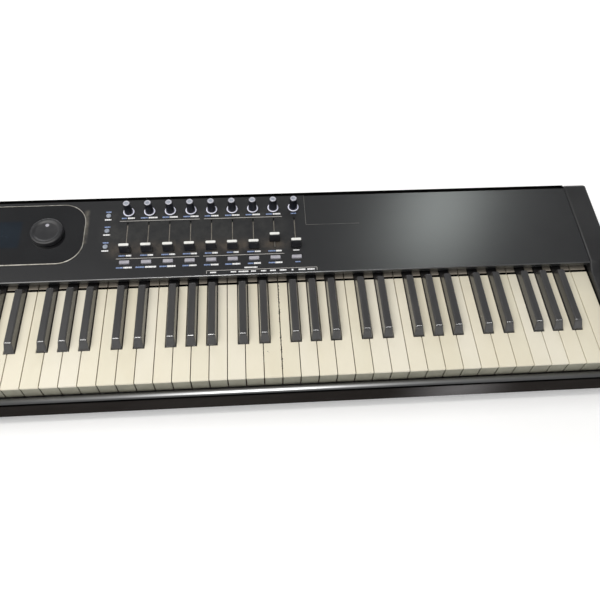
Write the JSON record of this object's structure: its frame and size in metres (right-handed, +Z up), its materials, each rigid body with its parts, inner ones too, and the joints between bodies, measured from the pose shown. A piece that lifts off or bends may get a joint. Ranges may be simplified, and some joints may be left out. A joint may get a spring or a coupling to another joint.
{
  "type": "controller keyboard synthesizer",
  "caption": "Full-size controller keyboard with pivoting keys, encoders, faders, pads, wheels and a sloping control panel.",
  "frame": {"origin": "on the resting surface under the centre of the instrument's outline", "axes": "+X along the keys from bass to treble, +Y from the player to the rear panel, +Z up"},
  "size_m": [1.292, 0.308, 0.1193],
  "materials": {
    "panel_paint": "satin charcoal paint",
    "case_paint": "satin black paint",
    "end_cap_plastic": "fine textured black moulding",
    "rail_plastic": "satin dark trim with a bright top edge",
    "foot_rubber": "matt black rubber",
    "frame_steel": "plain zinc-plated sheet",
    "rod_steel": "ground steel rod",
    "spring_steel": "spring steel strip",
    "stop_felt": "woven felt",
    "circuit_board": "green solder mask",
    "contact_rubber": "soft silicone",
    "light_diffuser": "milky light guide",
    "gloss_window": "piano black acrylic",
    "dial_plastic": "satin black",
    "wheel_rubber": "soft-touch black",
    "pad_rubber": "matt silicone pads",
    "button_plastic": "translucent satin buttons",
    "socket_plastic": "black sockets",
    "switch_plastic": "black rocker",
    "white_key_plastic": "ivory key plastic",
    "black_key_plastic": "satin black key plastic",
    "knob_plastic": "black body with a silver top",
    "fader_plastic": "black wedge with a white top"
  },
  "bodies": {
    "chassis": {"top_panel": "panel_paint", "bottom_tray": "case_paint", "rear_panel": "case_paint", "left_end_cap": "end_cap_plastic", "right_end_cap": "end_cap_plastic", "front_rail": "rail_plastic", "left_foot": "foot_rubber", "right_foot": "foot_rubber", "key_frame": "frame_steel", "wheel_bracket": "frame_steel", "pivot_rod": "rod_steel", "key_spring_comb": "spring_steel", "key_stop_felt": "stop_felt", "contact_board": "circuit_board", "control_board": "circuit_board", "main_board": "circuit_board", "contact_strip": "contact_rubber", "light_guide": "light_diffuser", "display_window": "gloss_window", "pad_mat": "pad_rubber", "jack_board": "socket_plastic"},
    "key_C5": {"key_C5": "white_key_plastic"},
    "key_D5": {"key_D5": "white_key_plastic"},
    "key_E5": {"key_E5": "white_key_plastic"},
    "key_F5": {"key_F5": "white_key_plastic"},
    "key_G5": {"key_G5": "white_key_plastic"},
    "key_A5": {"key_A5": "white_key_plastic"},
    "key_B5": {"key_B5": "white_key_plastic"},
    "key_Csharp5": {"key_Csharp5": "black_key_plastic"},
    "key_Dsharp5": {"key_Dsharp5": "black_key_plastic"},
    "key_Fsharp5": {"key_Fsharp5": "black_key_plastic"},
    "key_Gsharp5": {"key_Gsharp5": "black_key_plastic"},
    "key_Asharp5": {"key_Asharp5": "black_key_plastic"},
    "white_keys": {"white_keys": "white_key_plastic"},
    "black_keys": {"black_keys": "black_key_plastic"},
    "encoder_knob_1": {"encoder_knob_1": "knob_plastic"},
    "encoder_knob_2": {"encoder_knob_2": "knob_plastic"},
    "encoder_knob_3": {"encoder_knob_3": "knob_plastic"},
    "encoder_knob_4": {"encoder_knob_4": "knob_plastic"},
    "encoder_knob_5": {"encoder_knob_5": "knob_plastic"},
    "encoder_knob_6": {"encoder_knob_6": "knob_plastic"},
    "encoder_knob_7": {"encoder_knob_7": "knob_plastic"},
    "encoder_knob_8": {"encoder_knob_8": "knob_plastic"},
    "encoder_knob_9": {"encoder_knob_9": "knob_plastic"},
    "fader_cap_1": {"fader_cap_1": "fader_plastic"},
    "fader_cap_2": {"fader_cap_2": "fader_plastic"},
    "fader_cap_3": {"fader_cap_3": "fader_plastic"},
    "fader_cap_4": {"fader_cap_4": "fader_plastic"},
    "fader_cap_5": {"fader_cap_5": "fader_plastic"},
    "fader_cap_6": {"fader_cap_6": "fader_plastic"},
    "fader_cap_7": {"fader_cap_7": "fader_plastic"},
    "fader_cap_8": {"fader_cap_8": "fader_plastic"},
    "fader_cap_9": {"fader_cap_9": "fader_plastic"},
    "jog_dial": {"jog_dial": "dial_plastic"},
    "pitch_wheel": {"pitch_wheel": "wheel_rubber"},
    "mod_wheel": {"mod_wheel": "wheel_rubber"},
    "power_switch": {"power_switch": "switch_plastic"},
    "select_buttons": {"select_buttons": "button_plastic"},
    "page_buttons": {"page_buttons": "button_plastic"},
    "command_buttons": {"command_buttons": "button_plastic"}
  },
  "joints": [
    {"name": "white_keys_press", "type": "hinge", "parent": "chassis", "child": "white_keys", "pos_m": [0, 0.0735, 0.068], "axis": [1, 0, 0], "range_deg": [0, 2.66], "stiffness_Nm_per_rad": 45, "springref_deg": -12.61},
    {"name": "black_keys_press", "type": "hinge", "parent": "chassis", "child": "black_keys", "pos_m": [0, 0.0735, 0.068], "axis": [1, 0, 0], "range_deg": [0, 2.66], "stiffness_Nm_per_rad": 31, "springref_deg": -8.31},
    {"name": "key_C5_press", "type": "hinge", "parent": "chassis", "child": "key_C5", "pos_m": [0, 0.0735, 0.068], "axis": [1, 0, 0], "range_deg": [0, 2.66], "stiffness_Nm_per_rad": 1, "springref_deg": -12.61},
    {"name": "key_Csharp5_press", "type": "hinge", "parent": "chassis", "child": "key_Csharp5", "pos_m": [0, 0.0735, 0.068], "axis": [1, 0, 0], "range_deg": [0, 2.66], "stiffness_Nm_per_rad": 1, "springref_deg": -8.31},
    {"name": "jog_dial_turn", "type": "hinge", "parent": "chassis", "child": "jog_dial", "pos_m": [-0.158, 0.09039, 0.09676], "axis": [0, -0.0523, 0.9986], "continuous": true},
    {"name": "pitch_wheel_turn", "type": "hinge", "parent": "chassis", "child": "pitch_wheel", "pos_m": [-0.578, 0.11585, 0.0841], "axis": [-1, 0, 0], "range_deg": [-40, 40], "stiffness_Nm_per_rad": 0.05},
    {"name": "mod_wheel_turn", "type": "hinge", "parent": "chassis", "child": "mod_wheel", "pos_m": [-0.542, 0.11585, 0.0841], "axis": [-1, 0, 0], "range_deg": [0, 70]},
    {"name": "power_switch_rock", "type": "hinge", "parent": "chassis", "child": "power_switch", "pos_m": [0.377, 0.1465, 0.042], "axis": [1, 0, 0], "range_deg": [0, 16]},
    {"name": "select_buttons_press", "type": "slide", "parent": "chassis", "child": "select_buttons", "axis": [0, 0.0523, -0.9986], "range_m": [0, 0.001], "stiffness_N_per_m": 300, "springref_m": -0.002},
    {"name": "page_buttons_press", "type": "slide", "parent": "chassis", "child": "page_buttons", "axis": [0, 0.0523, -0.9986], "range_m": [0, 0.001], "stiffness_N_per_m": 300, "springref_m": -0.002},
    {"name": "command_buttons_press", "type": "slide", "parent": "chassis", "child": "command_buttons", "axis": [0, 0.0523, -0.9986], "range_m": [0, 0.001], "stiffness_N_per_m": 300, "springref_m": -0.002},
    {"name": "encoder_1_turn", "type": "hinge", "parent": "chassis", "child": "encoder_knob_1", "pos_m": [-0.047, 0.12584, 0.09862], "axis": [0, -0.0523, 0.9986], "continuous": true},
    {"name": "fader_1_slide", "type": "slide", "parent": "chassis", "child": "fader_cap_1", "axis": [0, 0.9986, 0.0523], "range_m": [0, 0.045]},
    {"name": "fader_8_slide", "type": "slide", "parent": "chassis", "child": "fader_cap_8", "axis": [0, 0.9986, 0.0523], "range_m": [-0.011, 0.034]},
    {"name": "key_D5_press", "type": "hinge", "parent": "chassis", "child": "key_D5", "pos_m": [0, 0.0735, 0.068], "axis": [1, 0, 0], "range_deg": [0, 2.66], "stiffness_Nm_per_rad": 1, "springref_deg": -12.61},
    {"name": "key_E5_press", "type": "hinge", "parent": "chassis", "child": "key_E5", "pos_m": [0, 0.0735, 0.068], "axis": [1, 0, 0], "range_deg": [0, 2.66], "stiffness_Nm_per_rad": 1, "springref_deg": -12.61},
    {"name": "key_F5_press", "type": "hinge", "parent": "chassis", "child": "key_F5", "pos_m": [0, 0.0735, 0.068], "axis": [1, 0, 0], "range_deg": [0, 2.66], "stiffness_Nm_per_rad": 1, "springref_deg": -12.61},
    {"name": "key_G5_press", "type": "hinge", "parent": "chassis", "child": "key_G5", "pos_m": [0, 0.0735, 0.068], "axis": [1, 0, 0], "range_deg": [0, 2.66], "stiffness_Nm_per_rad": 1, "springref_deg": -12.61},
    {"name": "key_A5_press", "type": "hinge", "parent": "chassis", "child": "key_A5", "pos_m": [0, 0.0735, 0.068], "axis": [1, 0, 0], "range_deg": [0, 2.66], "stiffness_Nm_per_rad": 1, "springref_deg": -12.61},
    {"name": "key_B5_press", "type": "hinge", "parent": "chassis", "child": "key_B5", "pos_m": [0, 0.0735, 0.068], "axis": [1, 0, 0], "range_deg": [0, 2.66], "stiffness_Nm_per_rad": 1, "springref_deg": -12.61},
    {"name": "key_Dsharp5_press", "type": "hinge", "parent": "chassis", "child": "key_Dsharp5", "pos_m": [0, 0.0735, 0.068], "axis": [1, 0, 0], "range_deg": [0, 2.66], "stiffness_Nm_per_rad": 1, "springref_deg": -8.31},
    {"name": "key_Fsharp5_press", "type": "hinge", "parent": "chassis", "child": "key_Fsharp5", "pos_m": [0, 0.0735, 0.068], "axis": [1, 0, 0], "range_deg": [0, 2.66], "stiffness_Nm_per_rad": 1, "springref_deg": -8.31},
    {"name": "key_Gsharp5_press", "type": "hinge", "parent": "chassis", "child": "key_Gsharp5", "pos_m": [0, 0.0735, 0.068], "axis": [1, 0, 0], "range_deg": [0, 2.66], "stiffness_Nm_per_rad": 1, "springref_deg": -8.31},
    {"name": "key_Asharp5_press", "type": "hinge", "parent": "chassis", "child": "key_Asharp5", "pos_m": [0, 0.0735, 0.068], "axis": [1, 0, 0], "range_deg": [0, 2.66], "stiffness_Nm_per_rad": 1, "springref_deg": -8.31},
    {"name": "encoder_2_turn", "type": "hinge", "parent": "chassis", "child": "encoder_knob_2", "pos_m": [-0.017, 0.12584, 0.09862], "axis": [0, -0.0523, 0.9986], "continuous": true},
    {"name": "encoder_3_turn", "type": "hinge", "parent": "chassis", "child": "encoder_knob_3", "pos_m": [0.013, 0.12584, 0.09862], "axis": [0, -0.0523, 0.9986], "continuous": true},
    {"name": "encoder_4_turn", "type": "hinge", "parent": "chassis", "child": "encoder_knob_4", "pos_m": [0.043, 0.12584, 0.09862], "axis": [0, -0.0523, 0.9986], "continuous": true},
    {"name": "encoder_5_turn", "type": "hinge", "parent": "chassis", "child": "encoder_knob_5", "pos_m": [0.073, 0.12584, 0.09862], "axis": [0, -0.0523, 0.9986], "continuous": true},
    {"name": "encoder_6_turn", "type": "hinge", "parent": "chassis", "child": "encoder_knob_6", "pos_m": [0.103, 0.12584, 0.09862], "axis": [0, -0.0523, 0.9986], "continuous": true},
    {"name": "encoder_7_turn", "type": "hinge", "parent": "chassis", "child": "encoder_knob_7", "pos_m": [0.133, 0.12584, 0.09862], "axis": [0, -0.0523, 0.9986], "continuous": true},
    {"name": "encoder_8_turn", "type": "hinge", "parent": "chassis", "child": "encoder_knob_8", "pos_m": [0.163, 0.12584, 0.09862], "axis": [0, -0.0523, 0.9986], "continuous": true},
    {"name": "encoder_9_turn", "type": "hinge", "parent": "chassis", "child": "encoder_knob_9", "pos_m": [0.193, 0.12584, 0.09862], "axis": [0, -0.0523, 0.9986], "continuous": true},
    {"name": "fader_2_slide", "type": "slide", "parent": "chassis", "child": "fader_cap_2", "axis": [0, 0.9986, 0.0523], "range_m": [0, 0.045]},
    {"name": "fader_3_slide", "type": "slide", "parent": "chassis", "child": "fader_cap_3", "axis": [0, 0.9986, 0.0523], "range_m": [0, 0.045]},
    {"name": "fader_4_slide", "type": "slide", "parent": "chassis", "child": "fader_cap_4", "axis": [0, 0.9986, 0.0523], "range_m": [0, 0.045]},
    {"name": "fader_5_slide", "type": "slide", "parent": "chassis", "child": "fader_cap_5", "axis": [0, 0.9986, 0.0523], "range_m": [0, 0.045]},
    {"name": "fader_6_slide", "type": "slide", "parent": "chassis", "child": "fader_cap_6", "axis": [0, 0.9986, 0.0523], "range_m": [0, 0.045]},
    {"name": "fader_7_slide", "type": "slide", "parent": "chassis", "child": "fader_cap_7", "axis": [0, 0.9986, 0.0523], "range_m": [0, 0.045]},
    {"name": "fader_9_slide", "type": "slide", "parent": "chassis", "child": "fader_cap_9", "axis": [0, 0.9986, 0.0523], "range_m": [0, 0.045]}
  ]
}
